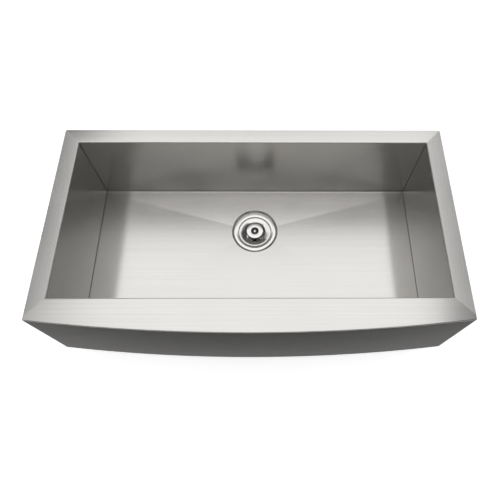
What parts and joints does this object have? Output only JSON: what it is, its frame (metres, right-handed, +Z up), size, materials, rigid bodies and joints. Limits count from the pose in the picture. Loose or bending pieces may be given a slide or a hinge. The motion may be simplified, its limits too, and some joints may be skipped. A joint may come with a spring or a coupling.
{
  "type": "apron_front_sink",
  "caption": "Stainless farmhouse sink with one deep rectangular bowl, creased floor, bowed apron front and a rear-set basket strainer with lift-out stopper",
  "frame": {"origin": "middle of the rear flange, on the flanges' underside, which lies on the counter or the cabinet", "axes": "+X to the right of someone standing at the sink, +Y towards the wall and away from the apron, +Z up"},
  "size_m": [0.9144, 0.504, 0.2909],
  "materials": {
    "brushed_steel": "brushed",
    "strainer_steel": "polished",
    "sound_pad": "matte",
    "gasket_rubber": "matte",
    "sealant": "matte",
    "friction_card": "matte",
    "locknut_zinc": "satin",
    "bush_brass": "satin"
  },
  "bodies": {
    "sink": {"bowl_wrap": "brushed_steel", "front_rim": "brushed_steel", "end_panel_left": "brushed_steel", "end_panel_right": "brushed_steel", "apron_panel": "brushed_steel", "apron_bottom_strip": "brushed_steel", "apron_bracket_left": "brushed_steel", "apron_bracket_right": "brushed_steel", "pad_floor_front": "sound_pad", "pad_floor_right": "sound_pad", "pad_floor_rear": "sound_pad", "pad_floor_left": "sound_pad", "pad_end_right": "sound_pad", "pad_end_left": "sound_pad", "pad_rear_wall": "sound_pad", "pad_front_wall": "sound_pad", "pad_apron": "sound_pad", "strainer_body": "strainer_steel", "strainer_outlet": "strainer_steel", "strainer_spider": "strainer_steel", "flange_sealant": "sealant", "drain_gasket": "gasket_rubber", "friction_ring": "friction_card", "drain_locknut": "locknut_zinc"},
    "basket": {"basket_cup": "strainer_steel", "basket_bush": "bush_brass"},
    "stopper": {"stopper_post": "strainer_steel", "seal_retainer": "strainer_steel", "stopper_seal": "gasket_rubber", "post_clip": "bush_brass", "knob_cap": "strainer_steel", "knob_nut": "strainer_steel"}
  },
  "joints": [
    {"name": "basket_lift", "type": "slide", "parent": "sink", "child": "basket", "axis": [0, 0, 1], "range_m": [0, 0.3]},
    {"name": "stopper_travel", "type": "slide", "parent": "basket", "child": "stopper", "axis": [0, 0, 1], "range_m": [0, 0.008]}
  ]
}
